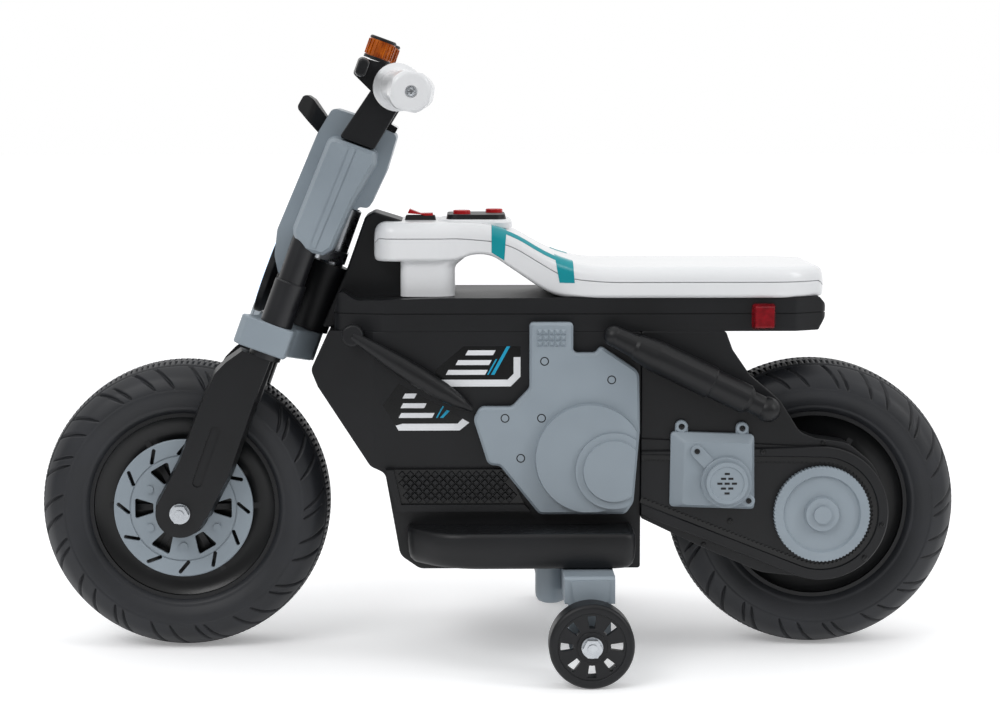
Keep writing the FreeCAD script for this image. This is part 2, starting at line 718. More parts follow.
def top_rim(shape, low):
    """Edges above a height where an upright wall meets the top outline."""
    found = []
    for edge in shape.Edges:
        if edge.BoundBox.ZMin < low:
            continue
        upright = []
        for face in shape.ancestorsOfType(edge, Part.Face):
            u0, u1, v0, v1 = face.ParameterRange
            upright.append(abs(face.normalAt((u0 + u1) / 2, (v0 + v1) / 2).z) < FLAT_TEST)
        if len(upright) == 2 and upright[0] != upright[1]:
            found.append(edge)
    return found


def seat_pieces():
    """Lower seat with console, upper cover split at the side line, and the two teal bands."""
    outer = seat_block(0)
    outer = soften(outer, top_rim(outer, at(0, SEAT_RIM_Z_share)[1]), SEAT_EDGE)
    inner = seat_block(SEAT_WALL)
    points = side(SEAT_SIDE_shares)
    low = points[9][1]
    y = BODY_HALF_W * 2
    x0, x1 = (at(x, 0)[0] for x in SEAT_OPEN_X_shares)
    plan = plan_points(SEAT_PLAN_shares)
    open_below = inset_prism(plan, rounds(SEAT_PLAN_ROUND_shares), "z", low - OVERRUN,
            low + SEAT_WALL + OVERRUN, SEAT_WALL * 2)
    open_below = open_below.common(Part.makeBox(x1 - x0, 2 * y, OVERRUN * 2 + SEAT_WALL * 2, V(x0, -y,
            low - OVERRUN)))
    c0, c1 = (at(x, 0)[0] for x in CONSOLE_OPEN_X_shares)
    half = across(CONSOLE_OPEN_Y_share)
    console_open = Part.makeBox(c1 - c0, 2 * half, SEAT_WALL * 2 + OVERRUN, V(c0, -half, low - OVERRUN))
    shell = outer.cut(inner).cut(open_below).cut(console_open)
    room = prism(side(NECK_SIDE_shares), 0, "y", -across(NECK_HALF_W_share) - GAP,
            across(NECK_HALF_W_share) + GAP)
    shell = shell.cut(room).cut(moved(room, GAP, 0, 0)).cut(moved(room, 0, 0, GAP))
    upper_zone = prism(side(SEAT_PART_shares), rounds(PART_ROUND_shares), "y", -y, y)
    bands = []
    skin = seat_block(TRIM_DEEP)
    skin = soften(skin, top_rim(skin, at(0, SEAT_RIM_Z_share)[1]), SEAT_EDGE - TRIM_DEEP)
    for drawn in (TRIM_FRONT_shares, TRIM_REAR_shares):
        bands.append(prism(side(drawn), 0, "y", -y, y).common(outer).cut(skin))
    trim = Part.makeCompound(bands)
    shell = shell.cut(trim)
    upper = shell.common(upper_zone)
    lower = shell.cut(upper_zone)
    return lower, upper, trim


def panel_seat_z():
    return at(0, PANEL_Z_share)[1]


def control_panel():
    """Raised panel on the console with a well for each button."""
    x = at(PANEL_X_share, 0)[0]
    z = panel_seat_z()
    half_l = PANEL_LONG / 2
    half_w = PANEL_WIDE / 2
    points = [(x - half_l, -half_w), (x + half_l, -half_w), (x + half_l, half_w), (x - half_l, half_w)]
    plate = drafted(points, PANEL_ROUND, "z", z, z + PANEL_T, EDGE)
    skirt = prism(points, PANEL_ROUND, "z", z - PANEL_T * 2, z)
    plate = join([plate, skirt]).cut(seat_block(0))
    for bx, by in plan_points(BUTTON_AT_shares):
        plate = plate.cut(rod((bx, by, z + EDGE), (bx, by, z + PANEL_T + OVERRUN), BUTTON_R + GAP))
    return plate


def button(place):
    """Round push button, rounded at the top, held above the well floor by its stroke."""
    x, y = plan_points([place])[0]
    foot = panel_seat_z() + EDGE + BUTTON_STROKE + GAP
    top = panel_seat_z() + PANEL_T + BUTTON_RISE
    cap = rod((x, y, foot), (x, y, top), BUTTON_R)
    return soften(cap, edges_at(cap, "z", top), EDGE)


def rocker_frame():
    x = at(ROCKER_X_share, 0)[0]
    return x, at(0, ROCKER_SEAT_Z_share)[1]


def switch_bezel():
    x, z = rocker_frame()
    half_l = ROCKER_L / 2 + ROCKER_WALL + GAP
    half_w = ROCKER_W / 2 + ROCKER_WALL + GAP
    outer = [(x - half_l, -half_w), (x + half_l, -half_w), (x + half_l, half_w), (x - half_l, half_w)]
    ring = drafted(outer, ROCKER_WALL, "z", z, z + ROCKER_WALL * 2, EDGE)
    bore = Part.makeBox(ROCKER_L + 2 * GAP, ROCKER_W + 2 * GAP, ROCKER_WALL * 2 + OVERRUN,
                        V(x - ROCKER_L / 2 - GAP, -ROCKER_W / 2 - GAP, z + EDGE))
    foot = prism(outer, ROCKER_WALL, "z", z - ROCKER_WALL, z)
    return join([ring, foot]).cut(bore).cut(seat_block(0))


def power_rocker():
    """Two-winged rocker, one wing up, on a cross pin."""
    x, z = rocker_frame()
    rise = ROCKER_WALL * 2
    points = [(x - ROCKER_L / 2, z + rise), (x, z + rise + EDGE), (x + ROCKER_L / 2, z + rise),
              (x + ROCKER_L / 2 - EDGE, z + rise + ROCKER_WALL * 2), (x, z + rise + ROCKER_WALL),
              (x - ROCKER_L / 2 + EDGE, z + rise + ROCKER_WALL * 2)]
    wing = prism(points, 0, "y", -ROCKER_W / 2, ROCKER_W / 2)
    wing.rotate(V(x, 0, z + rise), V(0, 1, 0), ROCKER_TILT_DEG)
    return wing


def battery():
    x, z = at(BATTERY_X_share, TRAY_Z_share)
    a, b, c = BATTERY_SIZE
    block = Part.makeBox(a - GAP, b, c, V(x - a / 2 + GAP / 2, -b / 2, z))
    lugs = []
    for s in (-1, 1):
        lugs.append(Part.makeBox(BOLT_R, BOLT_R / 2, BOLT_R * 2, V(x + s * a / 3, 0, z + c)))
    return join([soften(block, block.Edges, EDGE)] + lugs)


def control_board():
    x, z = at(BOARD_X_share, BOARD_Z_share)
    a, b, c = BOARD_SIZE
    box = Part.makeBox(a, b, at(0, BODY_SIDE_shares[0][1])[1] - WALL - z, V(x - a / 2, -b / 2, z))
    return soften(box, edges_at(box, "z", z), EDGE * 2)


def studs(counts, corner, y, pitch):
    """Rows of four-sided points on a left side face at y."""
    x0, z0 = at(*corner)
    cells = []
    for i in range(counts[0]):
        for j in range(counts[1]):
            x = x0 + i * pitch
            z = z0 + j * pitch
            size = pitch - GAP
            base = [(x, z), (x + size, z), (x + size, z + size), (x, z + size)]
            low = size / 2 - EDGE / 2
            high = size / 2 + EDGE / 2
            tip = [(x + low, z + low), (x + high, z + low), (x + high, z + high), (x + low, z + high)]
            cells.append(Part.makeLoft([round_wire(base, 0, "y", y), round_wire(tip, 0, "y",
                    y - STUD_H)], True))
    return cells


def engine_cover():
    """Left imitation engine: drafted plate, stepped drums, studded post and screw heads."""
    seat = -BODY_HALF_W
    face = seat - ENGINE_T
    points = side(ENGINE_SIDE_shares)
    plate = prism(points, rounds(ENGINE_ROUND_shares), "y", seat, face)
    plate = bevel(plate, edges_at(plate, "y", face), ENGINE_DRAFT)
    root = face + EDGE
    keep = inset_prism(points, rounds(ENGINE_ROUND_shares), "y", seat - ENGINE_T * 3, root + EDGE,
            ENGINE_DRAFT + EDGE)
    x, z = at(*DRUM_C_shares)
    drum = cone((x, root, z), (x, face - DRUM_T, z), DRUM_R, DRUM_R - EDGE).common(keep)
    cx, cz = at(*CAP_C_shares)
    step_y = face - DRUM_T - CAP_T / 2
    ring = cone((cx, root, cz), (cx, step_y, cz), CAP_R, CAP_R - EDGE).common(keep)
    top = cone((cx, step_y + EDGE, cz), (cx, step_y - CAP_T / 2, cz), CAP_IN_R,
            CAP_IN_R - EDGE).common(keep)
    pieces = [plate, drum, ring, top]
    pieces += studs(POST_STUDS, POST_STUD_AT_shares, face, STUD)
    return join(pieces)


def frame_strut():
    """Left spindle-shaped strut from its boss on the body down to the engine cover."""
    seat = -BODY_HALF_W
    y = seat - STRUT_R + EDGE
    a = at(*STRUT_FROM_shares)
    b = at(*STRUT_TO_shares)
    boss = rod((a[0], seat, a[1]), (a[0], seat - STRUT_BOSS_T, a[1]), STRUT_BOSS_R)
    boss = soften(boss, edges_at(boss, "y", seat - STRUT_BOSS_T), EDGE * 2)
    run = V(b[0] - a[0], 0, b[1] - a[1])
    points = [(0, 0)] + [(r * STRUT_R, share * run.Length) for share, r in STRUT_STEP_shares] + [(0,
            run.Length)]
    bar = lathe(points, [STRUT_R * share for share in STRUT_ROUND_shares])
    bar.Placement = FreeCAD.Placement(V(a[0], y, a[1]), FreeCAD.Rotation(V(0, 1, 0), run))
    solid = join([boss, bar])
    return solid.cut(Part.makeBox(WHEELBASE, BODY_HALF_W, WHEELBASE, V(-WHEELBASE / 2, seat, 0)))


def step_tread():
    seat = -BODY_HALF_W
    plate = drafted(side(TREAD_SIDE_shares), EDGE, "y", seat, seat - TREAD_T, EDGE)
    return join([plate] + studs(TREAD_STUDS, TREAD_STUD_AT_shares, seat - TREAD_T, STUD))


def footrest():
    """Left step: drafted box open below with ribs along the top."""
    x0, x1 = at(STEP_X_shares[0], 0)[0], at(STEP_X_shares[1], 0)[0]
    z0, z1 = at(0, STEP_Z_shares[0])[1], at(0, STEP_Z_shares[1])[1]
    y0 = -BODY_HALF_W
    y1 = -across(STEP_OUT_Y_share)
    plan = [(x0, y0), (x1, y0), (x1, y1), (x0, y1)]
    top = [(x0 + STEP_DRAFT, y0), (x1 - STEP_DRAFT, y0), (x1 - STEP_DRAFT, y1 + STEP_DRAFT),
            (x0 + STEP_DRAFT, y1 + STEP_DRAFT)]
    radii = [0, 0, STEP_ROUND, STEP_ROUND]
    outer = Part.makeLoft([round_wire(plan, radii, "z", z0), round_wire(top, radii, "z", z1)], True)
    rim = [edge for edge in edges_at(outer, "z", z1) if edge.BoundBox.YMin < y0 - TINY]
    outer = soften(outer, rim, WALL)
    inner = inset_prism(top, radii, "z", z0 - OVERRUN, z1 - WALL, WALL)
    shell = outer.cut(inner)
    ribs = []
    for i in range(STEP_RIBS):
        y = y0 + (y1 + STEP_DRAFT - y0) * (i + 1) / (STEP_RIBS + 1)
        ribs.append(Part.makeBox(x1 - x0 - STEP_ROUND * 2, EDGE, EDGE * 2, V(x0 + STEP_ROUND,
                y - EDGE / 2, z1 - EDGE)))
    web = Part.makeBox(WALL, y0 - y1 - WALL * 3, z1 - z0 - WALL, V((x0 + x1) / 2, y1 + WALL * 3,
            z0 + EDGE))
    return join([shell, web] + ribs)


def pedal_pivot():
    x = at(PEDAL_HEEL_X_share, 0)[0]
    return x, at(0, STEP_Z_shares[1])[1] + PEDAL_LIFT


def footrest_right():
    """Right step, with the two lugs and pin that carry the accelerator pedal."""
    base = flipped(footrest())
    x, z = pedal_pivot()
    mid = across(PEDAL_MID_Y_share)
    lugs = []
    top = at(0, STEP_Z_shares[1])[1]
    for s in (-1, 1):
        near = mid + s * (PEDAL_WIDE / 2 + GAP)
        points = [(x - PEDAL_BARREL_R, top - WALL), (x + PEDAL_BARREL_R, top - WALL),
                (x + PEDAL_BARREL_R, z + PEDAL_BARREL_R),
                  (x - PEDAL_BARREL_R, z + PEDAL_BARREL_R)]
        lugs.append(prism(points, [0, 0, WALL, WALL], "y", near, near + s * LUG_T))
    reach = PEDAL_WIDE / 2 + GAP + LUG_T / 2
    pin = rod((x, mid - reach, z), (x, mid + reach, z), PEDAL_PIN_R)
    return join([base, pin] + lugs)


def accelerator_pedal():
    """Ribbed pad on a barrel that turns on the pin; the toe end stands up."""
    x, z = pedal_pivot()
    mid = across(PEDAL_MID_Y_share)
    low = mid - PEDAL_WIDE / 2
    high = mid + PEDAL_WIDE / 2
    pad = prism([(x, z - PEDAL_T / 2), (x, z + PEDAL_T / 2), (x - PEDAL_LONG, z + PEDAL_T / 2),
            (x - PEDAL_LONG, z - PEDAL_T / 2)],
                [0, 0, EDGE, EDGE], "y", low, high)
    barrel = rod((x, low, z), (x, high, z), PEDAL_BARREL_R)
    ribs = []
    for i in range(STEP_RIBS):
        rx = x - PEDAL_LONG * (i + 2) / (STEP_RIBS + 2)
        ribs.append(Part.makeBox(EDGE * 2, PEDAL_WIDE - 2 * WALL, EDGE * 2, V(rx, low + WALL,
                z + PEDAL_T / 2 - EDGE)))
    solid = join([pad, barrel] + ribs)
    solid = solid.cut(rod((x, low - OVERRUN, z), (x, high + OVERRUN, z), PEDAL_PIN_R + RUN_CLEAR))
    solid.rotate(V(x, 0, z), V(0, 1, 0), PEDAL_RISE_DEG)
    return solid


def trainer_bracket():
    """Left bracket: arm under the body and step, gusset, and a tapered plate down to the axle."""
    x = at(TRAINER_X_share, 0)[0]
    low = at(0, ARM_LOW_Z_share)[1]
    under = at(0, BODY_LOW_Z_share)[1]
    step = at(0, STEP_Z_shares[0])[1]
    y_body = -BODY_HALF_W
    arm = prism([(-ARM_IN_Y, under), (y_body, under), (y_body, step), (-ARM_OUT_Y, step), (-ARM_OUT_Y,
            low), (-ARM_IN_Y, under - ARM_T)],
                [EDGE, 0, 0, ARM_T / 3, EDGE, EDGE], "x", x - ARM_HALF_X, x + ARM_HALF_X)
    foot = TRAINER_R - ARM_BELOW_AXLE
    half = ARM_TIP_HALF_X
    plate_in = -ARM_OUT_Y + ARM_T
    plate = prism([(x - ARM_HALF_X, step - WALL), (x + ARM_HALF_X, step - WALL), (x + half, low),
            (x + half, foot), (x - half, foot),
                   (x - half, low)], [0, 0, ARM_T / 2, half, half, ARM_T / 2], "y", -ARM_OUT_Y, plate_in)
    gusset = prism([(plate_in - EDGE, low + EDGE), (plate_in - EDGE, low - ARM_T),
            (plate_in + ARM_T * 2, low + EDGE)], 0, "x",
                   x - WALL, x + WALL)
    hollow = prism([(-ARM_IN_Y - WALL * 3, under - WALL), (y_body - WALL * 2, under - WALL),
            (y_body - WALL * 2, low - OVERRUN * 6),
                    (-ARM_IN_Y - WALL * 3, low - OVERRUN * 6)], 0, "x", x - ARM_HALF_X + WALL, x + ARM_HALF_X - WALL)
    bore = rod((x, -ARM_OUT_Y - OVERRUN, TRAINER_R), (x, plate_in + OVERRUN, TRAINER_R), AXLE_R)
    return join([arm, plate, gusset]).cut(hollow).cut(bore)


def trainer_axle():
    x = at(TRAINER_X_share, 0)[0]
    out = TRAINER_IN_Y + TRAINER_W + GAP
    pin = rod((0, -ARM_OUT_Y + ARM_T - WALL, 0), (0, -out - WASHER_T - NUT_H - OVERRUN, 0), AXLE_R)
    sleeve = rod((0, -ARM_OUT_Y, 0), (0, -TRAINER_IN_Y + GAP, 0), SPACER_R)
    return moved(join([pin, sleeve] + hex_nut(-out, -1)), x, 0, TRAINER_R)


def trainer_wheel():
    """Left trainer wheel: rounded tread, eight windows, hub barrel."""
    low = -TRAINER_IN_Y - TRAINER_W
    high = -TRAINER_IN_Y
    rim = lathe([(TRAINER_RIM_R, low), (TRAINER_R, low), (TRAINER_R, high), (TRAINER_RIM_R, high)],
            [EDGE, TRAINER_ROUND, TRAINER_ROUND, EDGE])
    core = lathe([(AXLE_R + RUN_CLEAR, low), (TRAINER_HUB_R, low), (TRAINER_HUB_R, high),
            (AXLE_R + RUN_CLEAR, high)],
                 [0, EDGE, EDGE, 0])
    web = lathe([(TRAINER_HUB_R - EDGE, low + EDGE * 2), (TRAINER_RIM_R + EDGE, low + EDGE * 2),
                 (TRAINER_RIM_R + EDGE, low + EDGE * 2 + TRAINER_WEB), (TRAINER_HUB_R - EDGE,
                         low + EDGE * 2 + TRAINER_WEB)], 0)
    window = trapezoid(TRAINER_WIN_IN, TRAINER_WIN_OUT, TRAINER_WIN_IN_HALF, TRAINER_WIN_OUT_HALF,
            EDGE, low - OVERRUN, high)
    web = web.cut(Part.makeCompound(spun(window, TRAINER_WINDOWS)))
    return moved(join([rim, core, web]), at(TRAINER_X_share, 0)[0], 0, TRAINER_R)


def rear_case():
    """Left swingarm case, open towards the wheel, with the axle boss and the belt lines outside."""
    points = side(REAR_SIDE_shares)
    outer = prism(points, rounds(REAR_ROUND_shares), "y", -REAR_OUT_Y, -REAR_IN_Y)
    outer = soften(outer, edges_at(outer, "y", -REAR_OUT_Y), EDGE)
    inner = inset_prism(points, rounds(REAR_ROUND_shares), "y", -REAR_OUT_Y + WALL,
            -REAR_IN_Y + OVERRUN, WALL)
    shell = outer.cut(inner)
    x = WHEELBASE / 2
    boss = rod((x, -REAR_OUT_Y + EDGE, TYRE_R), (x, -HUB_HALF_W - GAP, TYRE_R), REAR_AXLE_BOSS_R)
    return join([shell, boss]).cut(rod((x, -REAR_OUT_Y - OVERRUN, TYRE_R), (x, 0, TYRE_R), AXLE_R))


def belt_lines(case):
    """Left case with the raised belt runs, their teeth and the ring round the pulley."""
    x = WHEELBASE / 2
    y0 = -REAR_OUT_Y + EDGE
    y1 = -REAR_OUT_Y - BELT_T
    ring = rod((x, y0, TYRE_R), (x, y1, TYRE_R), BELT_REAR_R)
    fx = at(BELT_FRONT_X_share, 0)[0]
    top = at(0, BELT_TOP_Z_share)[1]
    low = at(0, BELT_LOW_Z_share)[1]
    drop = BELT_REAR_R
    foot_x = x - drop * BELT_FOOT_shares[0]
    foot_z = TYRE_R - drop * BELT_FOOT_shares[1]
    upper = prism([(fx, top), (fx, top - BELT_BAND), (x, TYRE_R + drop - BELT_BAND), (x,
            TYRE_R + drop)], 0, "y", y1, y0)
    lower = prism([(fx, low), (fx, low + BELT_BAND), (foot_x, foot_z + BELT_BAND),
                   (foot_x, foot_z)], 0, "y", y1, y0)
    keep = prism(side(REAR_SIDE_shares), rounds(REAR_ROUND_shares), "y", y1 - OVERRUN, y0 + OVERRUN)
    teeth = []
    for i in range(int((x - fx) / BELT_PITCH)):
        tx = fx + BELT_TOOTH + i * BELT_PITCH
        share = (tx - fx) / (x - fx)
        tz = top - BELT_BAND + share * (TYRE_R + drop - top)
        teeth.append(Part.makeBox(BELT_TOOTH, y0 - y1 - EDGE, BELT_TOOTH + EDGE, V(tx, y1 + EDGE,
                tz - BELT_TOOTH)))
    lines = join([ring, upper, lower] + teeth).common(keep)
    lines = lines.cut(rod((x, y1 - OVERRUN, TYRE_R), (x, y0 + OVERRUN, TYRE_R), AXLE_R))
    room = [prism(side(SPEAKER_SIDE_shares), 0, "y", y1 - OVERRUN, -REAR_OUT_Y)]
    for ex, ez in SPEAKER_EARS_shares:
        px, pz = at(ex, ez)
        room.append(rod((px, y1 - OVERRUN, pz), (px, -REAR_OUT_Y, pz), EAR_R + GAP))
    return join([case, lines.cut(Part.makeCompound(room))])


def pulley_cap():
    """Toothed cap with a dished face and a stepped centre boss."""
    y = -REAR_OUT_Y - BELT_T
    rim = []
    for i in range(PULLEY_TEETH * 2):
        turn = math.radians(HALF_TURN * i / PULLEY_TEETH)
        radius = PULLEY_R if i % 2 else PULLEY_R - EDGE
        rim.append((radius * math.cos(turn), radius * math.sin(turn)))
    disc = prism(rim, 0, "y", y, y - PULLEY_T)
    dish = lathe([(PULLEY_BOSS_R, y - PULLEY_T + WALL), (PULLEY_STEP_R - WALL, y - PULLEY_T + WALL),
            (PULLEY_STEP_R, y - PULLEY_T - OVERRUN),
                  (PULLEY_BOSS_R, y - PULLEY_T - OVERRUN)], 0)
    boss = cone((0, y, 0), (0, y - PULLEY_T - WALL, 0), PULLEY_BOSS_R + EDGE, PULLEY_BOSS_R - EDGE)
    tip = rod((0, y, 0), (0, y - PULLEY_T - WALL * 2, 0), PULLEY_BOSS_R / 2)
    room = rod((0, y + OVERRUN, 0), (0, y - WALL, 0), AXLE_R + OVERRUN)
    return moved(join([disc.cut(dish), boss, tip]).cut(room), WHEELBASE / 2, 0, TYRE_R)


def speaker_box():
    """Drafted box on the left case with two screw ears on its top edge."""
    y = -REAR_OUT_Y - BELT_T
    box = drafted(side(SPEAKER_SIDE_shares), SPEAKER_ROUND, "y", y, y - SPEAKER_T, EDGE * 2)
    foot = prism(side(SPEAKER_SIDE_shares), SPEAKER_ROUND, "y", -REAR_OUT_Y, y)
    pieces = [box, foot]
    for ex, ez in SPEAKER_EARS_shares:
        x, z = at(ex, ez)
        ear = rod((x, -REAR_OUT_Y, z), (x, y - WALL, z), EAR_R)
        neck_box = Part.makeBox(EAR_R * 2, BELT_T + WALL, EAR_R * 2, V(x - EAR_R, y - WALL,
                z - EAR_R * 2))
        pieces.append(join([ear, neck_box]))
    solid = join(pieces)
    for ex, ez in SPEAKER_EARS_shares:
        x, z = at(ex, ez)
        solid = solid.cut(rod((x, y - EDGE, z), (x, y - SPEAKER_T, z), EAR_R / 2))
    return solid


def speaker_cap():
    """Round cap with nine slots and two ears, on the box face."""
    y = -REAR_OUT_Y - BELT_T - SPEAKER_T
    x, z = at(*GRILLE_C_shares)
    cap = cone((x, y, z), (x, y - GRILLE_T, z), GRILLE_R, GRILLE_R - EDGE * 2)
    cap = soften(cap, edges_at(cap, "y", y - GRILLE_T), EDGE)
    pieces = [cap]
    for ex, ez in GRILLE_EARS_shares:
        px, pz = at(ex, ez)
        ear = rod((px, y, pz), (px, y - WALL, pz), EAR_R)
        run = V(x - px, 0, z - pz)
        bar = Part.makeBox(run.Length, WALL, EAR_R * 2, V(0, -WALL, -EAR_R))
        bar.rotate(V(0, 0, 0), V(0, 1, 0), -math.degrees(math.atan2(run.z, run.x)))
        bar.translate(V(px, y, pz))
        pieces += [ear, bar, rod((px, y, pz), (px, y - WALL - EDGE, pz), BOLT_R)]
    solid = join(pieces)
    slots = []
    for i in (-1, 0, 1):
        for j in (-1, 0, 1):
            cx = x + i * GRILLE_R * GRILLE_SLOT_shares[0]
            cz = z + j * GRILLE_R * GRILLE_SLOT_shares[1]
            half = GRILLE_R * GRILLE_SLOT_shares[2]
            pts = [(cx - half, cz - GRILLE_SLOT_W / 2), (cx + half, cz - GRILLE_SLOT_W / 2),
                    (cx + half, cz + GRILLE_SLOT_W / 2),
                   (cx - half, cz + GRILLE_SLOT_W / 2)]
            slots.append(prism(pts, GRILLE_SLOT_W / 2, "y", y - GRILLE_T - OVERRUN, y - GRILLE_T / 2))
    return solid.cut(Part.makeCompound(slots))


def shock():
    """Left shock: stepped barrel turned about its own slope, with a ball and pin at each end."""
    a = at(*SHOCK_TOP_shares)
    b = at(*SHOCK_LOW_shares)
    run = V(b[0] - a[0], 0, b[1] - a[1])
    long = run.Length
    points = [(0, 0)] + [(r * SHOCK_R, share * long) for share, r in SHOCK_STEPS_shares] + [(0, long)]
    barrel = lathe(points, 0)
    barrel = join([barrel, Part.makeSphere(SHOCK_TOP_R), Part.makeSphere(SHOCK_FOOT_R, V(0, long, 0))])
    spin = FreeCAD.Rotation(V(0, 1, 0), run)
    barrel.Placement = FreeCAD.Placement(V(a[0], -across(SHOCK_Y_share), a[1]), spin)
    pins = []
    for p, seat in ((a, BODY_HALF_W), (b, REAR_OUT_Y)):
        pins.append(rod((p[0], -across(SHOCK_Y_share), p[1]), (p[0], -seat, p[1]), SHOCK_PIN_R))
    return join([barrel] + pins)


def tail_lamp():
    seat = -BODY_HALF_W
    lens = drafted(side(LAMP_SIDE_shares), WALL, "y", seat, seat - LAMP_T, EDGE * 2)
    return soften(lens, edges_at(lens, "y", seat - LAMP_T), EDGE)


def rear_axle():
    """Rod with its nut on the right; the left end stops inside the pulley cap."""
    end = REAR_OUT_Y + WASHER_T + NUT_H + OVERRUN
    pin = rod((0, -REAR_OUT_Y - OVERRUN, 0), (0, end, 0), AXLE_R)
    return moved(join([pin] + hex_nut(REAR_OUT_Y, 1)), WHEELBASE / 2, 0, TYRE_R)


def drive_unit():
    """Gearbox round the axle with the motor lying ahead of it, inside the right case."""
    x = WHEELBASE / 2
    low = REAR_IN_Y
    high = REAR_OUT_Y - WALL
    mid = (low + high) / 2
    box = rod((x, low, TYRE_R), (x, high, TYRE_R), DRIVE_R)
    x0 = at(MOTOR_X_shares[0], 0)[0]
    x1 = at(MOTOR_X_shares[1], 0)[0]
    motor = rod((x0, mid, TYRE_R), (x1, mid, TYRE_R), MOTOR_R)
    nose = rod((x1 - WALL, mid, TYRE_R), (x, mid, TYRE_R), MOTOR_R + OVERRUN / 2)
    return join([box, motor, nose]).cut(rod((x, 0, TYRE_R), (x, REAR_OUT_Y * 2, TYRE_R),
            REAR_AXLE_BOSS_R))


def drive_dog():
    """Six-lug ring on the right end of the rear hub that the gearbox turns."""
    low = HUB_HALF_W
    ring = lathe([(REAR_AXLE_BOSS_R + GAP * 2, low), (DOG_R, low), (DOG_R, low + DOG_T),
            (REAR_AXLE_BOSS_R + GAP * 2, low + DOG_T)], 0)
    notch = Part.makeBox(DOG_R, DOG_T, DOG_T, V(DOG_R * DOG_NOTCH_share, low + DOG_T / 2, -DOG_T / 2))
    return moved(ring.cut(Part.makeCompound(spun(notch, DOG_LUGS))), WHEELBASE / 2, 0, TYRE_R)


def column(points):
    """Grid points ahead of and along the steering axis, in real lengths of the upright drawing."""
    return [(-col(u), col(t)) for u, t in points]


def clamp_plan(table):
    """Plan of a clamp: ahead in shares of the fork offset, across in shares of the fork spacing."""
    return [(-u * FORK_AHEAD, y * FORK_Y) for u, y in table]


def stem():
    """Steering stem, bevelled at its top."""
    shaft = rod((0, 0, STEM_LOW), (0, 0, STEM_TOP), STEM_R)
    return raked(bevel(shaft, edges_at(shaft, "z", STEM_TOP), EDGE))


def fork_tube():
    x = -FORK_AHEAD
    y = -FORK_Y
    pieces = [rod((x, y, SPIGOT_LOW), (x, y, LEG_TOP), SPIGOT_R), rod((x, y, LEG_TOP), (x, y,
            SLEEVE_TOP), SLEEVE_R),
              rod((x, y, SLEEVE_TOP), (x, y, TUBE_TOP), TUBE_R)]
    tube = join(pieces)
    return raked(bevel(tube, [e for e in edges_at(tube, "z",
            SLEEVE_TOP) if e.BoundBox.XLength > TUBE_R * 2 + EDGE], EDGE))


def fork_leg():
    """Left lower leg: tapering blade with a long slot, round axle end and an inner boss at the hub."""
    ax, az = -WHEELBASE / 2, TYRE_R
    blade = drafted(side(LEG_SIDE_shares), rounds(LEG_ROUND_shares), "y", -LEG_IN_Y, -LEG_OUT_Y,
            LEG_DRAFT)
    end = cone((ax, -LEG_IN_Y, az), (ax, -LEG_OUT_Y, az), LEG_END_R, LEG_END_R - LEG_DRAFT)
    boss = rod((ax, -LEG_IN_Y - WALL, az), (ax, -HUB_HALF_W - DISC_T - GAP, az), SPACER_R)
    below = raked(Part.makeBox(WHEELBASE, WHEELBASE, WHEELBASE, V(-WHEELBASE / 2, -WHEELBASE / 2,
            LEG_TOP - WHEELBASE)))
    sleeve = raked(rod((-FORK_AHEAD, -FORK_Y, SPIGOT_LOW - WALL), (-FORK_AHEAD, -FORK_Y, LEG_TOP),
            SPIGOT_R + WALL))
    solid = join([blade.common(below), end, boss, sleeve])
    socket = raked(rod((-FORK_AHEAD, -FORK_Y, SPIGOT_LOW), (-FORK_AHEAD, -FORK_Y, LEG_TOP + OVERRUN),
            SPIGOT_R))
    a = at(*LEG_SLOT_shares[0])
    b = at(*LEG_SLOT_shares[1])
    floor = -LEG_OUT_Y + LEG_SLOT_DEEP
    cuts = [socket, rod((ax, 0, az), (ax, -LEG_OUT_Y - OVERRUN, az), AXLE_R)]
    for p in (a, b):
        cuts.append(rod((p[0], floor, p[1]), (p[0], -LEG_OUT_Y - OVERRUN, p[1]), LEG_SLOT_R))
    run = V(b[0] - a[0], 0, b[1] - a[1])
    bar = Part.makeBox(run.Length, LEG_SLOT_DEEP + OVERRUN, LEG_SLOT_R * 2, V(0,
            -LEG_SLOT_DEEP - OVERRUN, -LEG_SLOT_R))
    bar.rotate(V(0, 0, 0), V(0, 1, 0), -math.degrees(math.atan2(run.z, run.x)))
    bar.translate(V(a[0], floor, a[1]))
    return solid.cut(join(cuts[2:] + [bar])).cut(cuts[0]).cut(cuts[1])


def lower_yoke():
    """Triple clamp: waisted plan, bored for the stem and both sleeves, slit at each clamp."""
    plate = prism(clamp_plan(YOKE_PLAN_shares), rounds(YOKE_ROUND_shares), "z", YOKE_LOW, YOKE_TOP)
    plate = bevel(plate, edges_at(plate, "z", YOKE_TOP) + edges_at(plate, "z", YOKE_LOW), EDGE)
    solid = join([plate, rod((0, 0, YOKE_LOW), (0, 0, YOKE_TOP), YOKE_BOSS_R)])
    cuts = [rod((0, 0, YOKE_LOW - OVERRUN), (0, 0, YOKE_TOP + OVERRUN), STEM_R)]
    high = YOKE_TOP - YOKE_LOW
    for s in (-1, 1):
        y = s * FORK_Y
        cuts.append(rod((-FORK_AHEAD, y, YOKE_LOW - OVERRUN), (-FORK_AHEAD, y, YOKE_TOP + OVERRUN),
                SLEEVE_R))
        slit = Part.makeBox(SLEEVE_R * 3, WALL, high + 2 * OVERRUN, V(-FORK_AHEAD - SLEEVE_R * 3,
                y - WALL / 2, YOKE_LOW - OVERRUN))
        cuts.append(slit)
    return raked(solid.cut(Part.makeCompound(cuts)))


